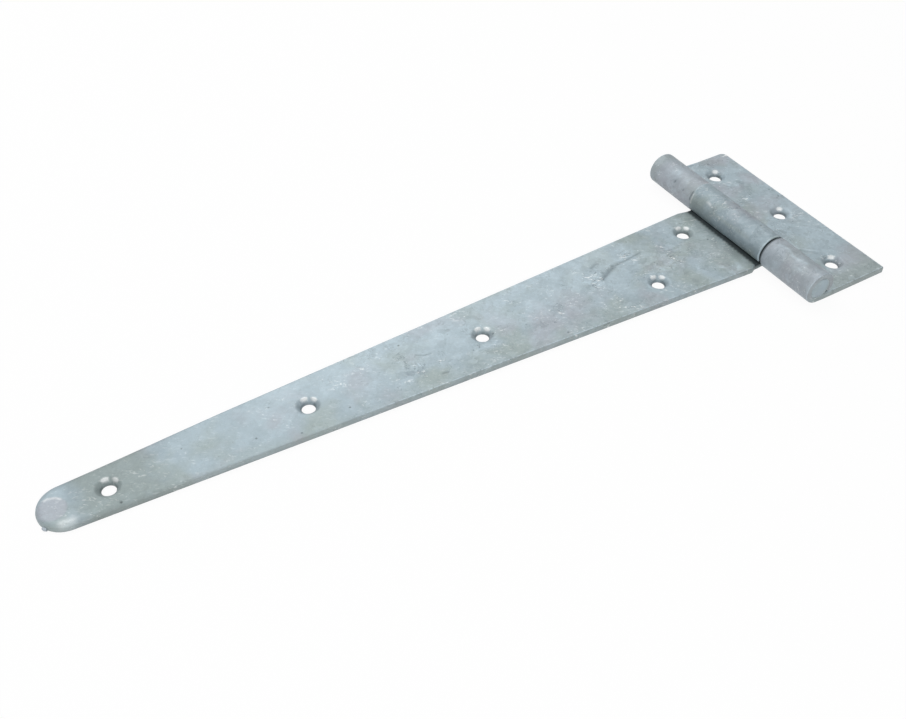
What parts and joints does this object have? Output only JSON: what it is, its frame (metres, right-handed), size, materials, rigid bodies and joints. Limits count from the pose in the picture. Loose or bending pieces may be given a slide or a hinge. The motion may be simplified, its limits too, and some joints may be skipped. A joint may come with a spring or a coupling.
{
  "type": "t hinge",
  "caption": "Galvanised T hinge: a long tapered strap with a rounded tip and a short cross plate, rolled round one riveted pin, with countersunk screw holes.",
  "frame": {"origin": "on the back plane of both leaves, straight under the pin's axis, halfway along the barrel", "axes": "+X from the pin towards the cross plate's outer edge (the strap reaches towards -X), +Y along the pin, +Z out of the front, the side the knuckles and countersinks are on"},
  "size_m": [0.3373, 0.1, 0.014],
  "materials": {
    "strap_zinc": "hot-dip galvanised, softly mottled pale blue-grey",
    "plate_zinc": "hot-dip galvanised, softly mottled pale blue-grey",
    "pin_zinc": "hot-dip galvanised, slightly darker grey"
  },
  "bodies": {
    "post_side": {"cross_plate": "plate_zinc", "hinge_pin": "pin_zinc"},
    "gate_side": {"strap_leaf": "strap_zinc"}
  },
  "joints": [
    {"name": "swing", "type": "hinge", "parent": "post_side", "child": "gate_side", "pos_m": [0, 0, 0.007], "axis": [0, 1, 0], "range_deg": [-95, 190]}
  ]
}
